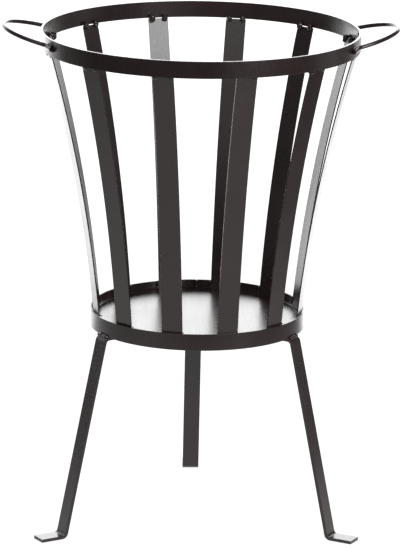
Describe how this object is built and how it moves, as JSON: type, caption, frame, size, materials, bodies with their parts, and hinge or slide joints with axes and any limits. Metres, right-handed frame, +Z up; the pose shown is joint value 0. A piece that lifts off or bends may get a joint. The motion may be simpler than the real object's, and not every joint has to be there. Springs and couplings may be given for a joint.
{
  "type": "fire basket",
  "caption": "Open fire basket: bowed flat-bar slats flare from a small hoop to a wide rim, on splayed flat-bar legs, with bent rod carrying handles and a loose round base plate.",
  "frame": {"origin": "on the floor, below the middle of the two hoops", "axes": "+Z up along the axis of the hoops, -Y to the front between the two front legs, +X to the right through one handle"},
  "size_m": [0.4732, 0.408, 0.6072],
  "materials": {
    "black_paint": "satin"
  },
  "bodies": {
    "basket": {"top_hoop": "black_paint", "bottom_hoop": "black_paint", "slat_01": "black_paint", "slat_02": "black_paint", "slat_03": "black_paint", "slat_04": "black_paint", "slat_05": "black_paint", "slat_06": "black_paint", "slat_07": "black_paint", "slat_08": "black_paint", "slat_09": "black_paint", "slat_10": "black_paint", "slat_11": "black_paint", "slat_12": "black_paint", "leg_front_left": "black_paint", "leg_front_right": "black_paint", "leg_back": "black_paint", "handle_left": "black_paint", "handle_right": "black_paint", "top_hoop_seam_weld": "black_paint", "bottom_hoop_seam_weld": "black_paint", "slat_top_welds": "black_paint", "slat_foot_welds": "black_paint", "leg_welds": "black_paint", "handle_welds": "black_paint"},
    "ash_plate": {"base_plate": "black_paint"}
  },
  "joints": [
    {"name": "plate_lift", "type": "slide", "parent": "basket", "child": "ash_plate", "axis": [0, 0, 1], "range_m": [0, 0.365]}
  ]
}
